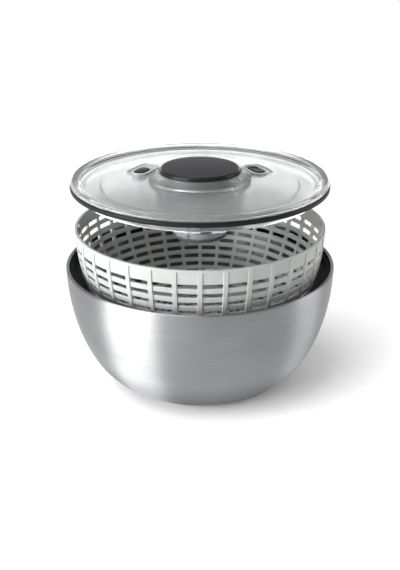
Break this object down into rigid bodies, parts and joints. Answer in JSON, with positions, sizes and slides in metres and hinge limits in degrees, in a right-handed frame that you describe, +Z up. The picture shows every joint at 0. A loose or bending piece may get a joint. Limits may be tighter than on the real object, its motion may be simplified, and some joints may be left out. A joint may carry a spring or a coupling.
{
  "type": "salad spinner",
  "caption": "Pump-knob salad spinner: steel bowl, slotted basket on a pivot and a clear lid with brake and knob lock, shown lifted apart.",
  "frame": {"origin": "centre of the base ring's underside, on the surface the bowl stands on", "axes": "+Z up along the axis that the bowl, basket and lid share; -Y towards the front, from where the brake button is at the back left"},
  "size_m": [0.268, 0.268, 0.2212],
  "materials": {
    "steel": "brushed round the bowl, satin",
    "rubber_black": "matte, slightly soft",
    "seat_black": "matte",
    "basket_white": "satin, slightly translucent",
    "cover_clear": "clear, polished",
    "turntable_frosted": "frosted, translucent",
    "housing_grey": "satin, translucent grey",
    "knob_black": "satin",
    "grip_black": "soft touch, matte",
    "post_white": "satin",
    "tip_grey": "smooth",
    "mechanism_grey": "satin",
    "spring_steel": "bright",
    "screw_steel": "bright",
    "shaft_steel": "satin"
  },
  "bodies": {
    "bowl_body": {"bowl": "steel", "base_ring": "rubber_black", "rim_seat": "seat_black", "pivot_post": "post_white", "pivot_tip": "tip_grey"},
    "basket_carrier": {"basket_bearing": "post_white", "bearing_clip": "mechanism_grey"},
    "basket_body": {"basket": "basket_white"},
    "lid_body": {"lid_cover": "cover_clear", "lid_gasket": "rubber_black", "mechanism_housing": "housing_grey", "housing_screws": "screw_steel", "brake_bezel": "cover_clear", "lock_bezel": "cover_clear", "turntable_clip": "spring_steel", "return_spring": "spring_steel", "brake_spring": "spring_steel"},
    "turntable_body": {"turntable": "turntable_frosted", "ratchet_ring": "mechanism_grey", "ratchet_cover": "housing_grey", "ratchet_screws": "screw_steel"},
    "knob_body": {"knob_cap": "knob_black", "knob_grip": "grip_black", "knob_plunger": "housing_grey", "drive_nut": "mechanism_grey"},
    "drive_body": {"drive_shaft": "shaft_steel", "pawl_carrier": "mechanism_grey"},
    "brake_body": {"brake_button": "knob_black", "brake_shoe": "rubber_black"},
    "lock_body": {"lock_slider": "knob_black", "lock_latch": "mechanism_grey"}
  },
  "joints": [
    {"name": "basket_lift", "type": "slide", "parent": "bowl_body", "child": "basket_carrier", "axis": [0, 0, 1], "range_m": [-0.0502, 0.11]},
    {"name": "basket_spin", "type": "hinge", "parent": "basket_carrier", "child": "basket_body", "pos_m": [0, 0, 0.0602], "axis": [0, 0, 1], "continuous": true},
    {"name": "lid_lift", "type": "slide", "parent": "basket_carrier", "child": "lid_body", "axis": [0, 0, 1], "range_m": [-0.0345, 0.1]},
    {"name": "turntable_spin", "type": "hinge", "parent": "lid_body", "child": "turntable_body", "pos_m": [0, 0, 0.165], "axis": [0, 0, 1], "continuous": true},
    {"name": "knob_pump", "type": "slide", "parent": "lid_body", "child": "knob_body", "axis": [0, 0, 1], "range_m": [0, 0.03], "deforming": ["return_spring"]},
    {"name": "shaft_spin", "type": "hinge", "parent": "lid_body", "child": "drive_body", "pos_m": [0, 0, 0.17], "axis": [0, 0, 1], "range_deg": [-361, 1]},
    {"name": "brake_press", "type": "slide", "parent": "lid_body", "child": "brake_body", "axis": [0, 0, -1], "range_m": [0, 0.003], "stiffness_N_per_m": 600, "springref_m": -0.001, "deforming": ["brake_spring"]},
    {"name": "lock_slide", "type": "slide", "parent": "lid_body", "child": "lock_body", "axis": [-0.4384, 0.8988, 0], "range_m": [0, 0.005]}
  ],
  "couplings": [
    {"joint": "turntable_spin", "follows": "basket_spin", "ratio": 1},
    {"joint": "shaft_spin", "follows": "knob_pump", "rad_per_m": -209.44}
  ]
}
